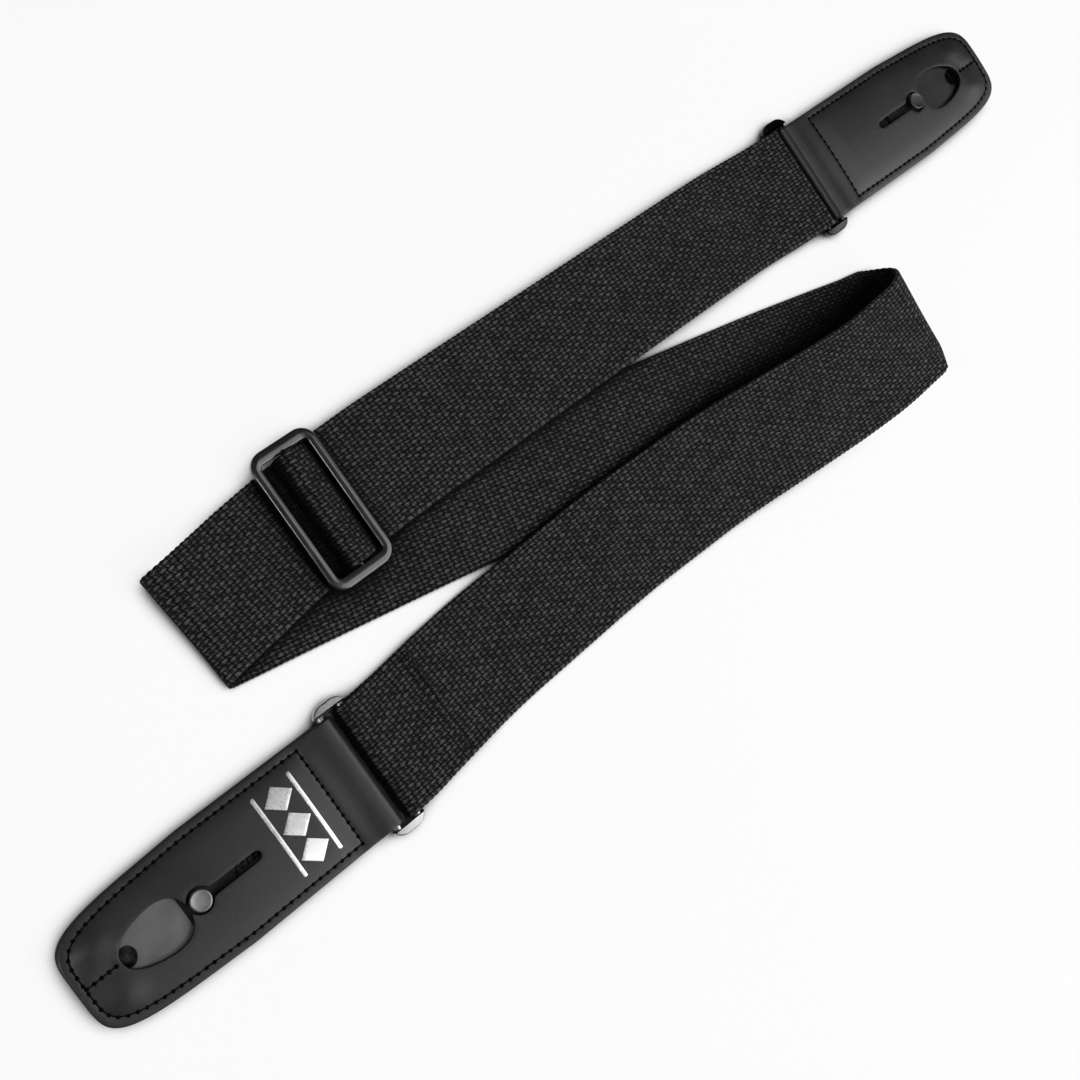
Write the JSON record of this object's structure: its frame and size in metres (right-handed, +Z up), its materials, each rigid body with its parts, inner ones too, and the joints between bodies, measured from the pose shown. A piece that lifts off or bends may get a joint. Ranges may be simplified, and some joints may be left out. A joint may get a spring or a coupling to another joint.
{
  "type": "guitar strap",
  "caption": "Adjustable locking guitar strap in woven cotton webbing, with a ladder slide, rectangular rings and leather ends that hold a spring-loaded strap-button lock.",
  "frame": {"origin": "under the middle of the laid-out strap, on the surface that it lies on", "axes": "+X along the adjuster run towards end 2; +Y towards the adjuster run's side; +Z up from the surface"},
  "size_m": [0.5872, 0.151, 0.0233],
  "materials": {
    "webbing": "coarse black cotton weave",
    "thread": "waxed black thread",
    "leather": "smooth charcoal-black leather, soft sheen",
    "leather_core": "stiff black leather board",
    "slide_metal": "black nickel, satin",
    "ring_metal": "black nickel, glossy",
    "lock_plate": "dark grey coated steel",
    "button_metal": "gunmetal rivet head",
    "spring_steel": "plain spring wire"
  },
  "bodies": {
    "webbing": {"webbing_anchor_turn": "webbing", "webbing_front_run": "webbing", "webbing_right_bend": "webbing", "webbing_middle_run": "webbing", "webbing_left_bend": "webbing", "webbing_adjuster_run": "webbing", "webbing_ring_turn": "webbing", "webbing_return_run": "webbing", "anchor_stitches": "thread"},
    "slide": {"slide_frame": "slide_metal", "slide_bight": "webbing", "slide_sewn_loop": "webbing", "slide_loop_stitches": "thread"},
    "ring_1": {"ring_1": "ring_metal"},
    "end_1": {"end_1_leather": "leather", "end_1_spacer": "leather_core", "end_1_stitching": "thread", "end_1_return_spring": "spring_steel"},
    "lock_1": {"end_1_lock_plate": "lock_plate", "end_1_thumb_button": "button_metal"},
    "ring_2": {"ring_2": "ring_metal"},
    "end_2": {"end_2_leather": "leather", "end_2_spacer": "leather_core", "end_2_stitching": "thread", "end_2_return_spring": "spring_steel"},
    "lock_2": {"end_2_lock_plate": "lock_plate", "end_2_thumb_button": "button_metal"}
  },
  "joints": [
    {"name": "slide_adjust", "type": "slide", "parent": "webbing", "child": "slide", "axis": [1, 0, 0], "range_m": [-0.01, 0.2]},
    {"name": "ring_1_swing", "type": "hinge", "parent": "webbing", "child": "ring_1", "pos_m": [-0.15925, -0.045, 0.00375], "axis": [0, 1, 0], "range_deg": [0, 70]},
    {"name": "end_1_swing", "type": "hinge", "parent": "ring_1", "child": "end_1", "pos_m": [-0.16875, -0.045, 0.00375], "axis": [0, 1, 0], "range_deg": [0, 100]},
    {"name": "lock_1_release", "type": "slide", "parent": "end_1", "child": "lock_1", "axis": [1, 0, 0], "range_m": [0, 0.024], "stiffness_N_per_m": 80, "springref_m": -0.012, "deforming": ["end_1_return_spring"]},
    {"name": "ring_2_swing", "type": "hinge", "parent": "webbing", "child": "ring_2", "pos_m": [0.15925, 0.045, 0.00375], "axis": [0, -1, 0], "range_deg": [0, 70]},
    {"name": "end_2_swing", "type": "hinge", "parent": "ring_2", "child": "end_2", "pos_m": [0.16875, 0.045, 0.00375], "axis": [0, -1, 0], "range_deg": [0, 100]},
    {"name": "lock_2_release", "type": "slide", "parent": "end_2", "child": "lock_2", "axis": [-1, 0, 0], "range_m": [0, 0.024], "stiffness_N_per_m": 80, "springref_m": -0.012, "deforming": ["end_2_return_spring"]}
  ]
}
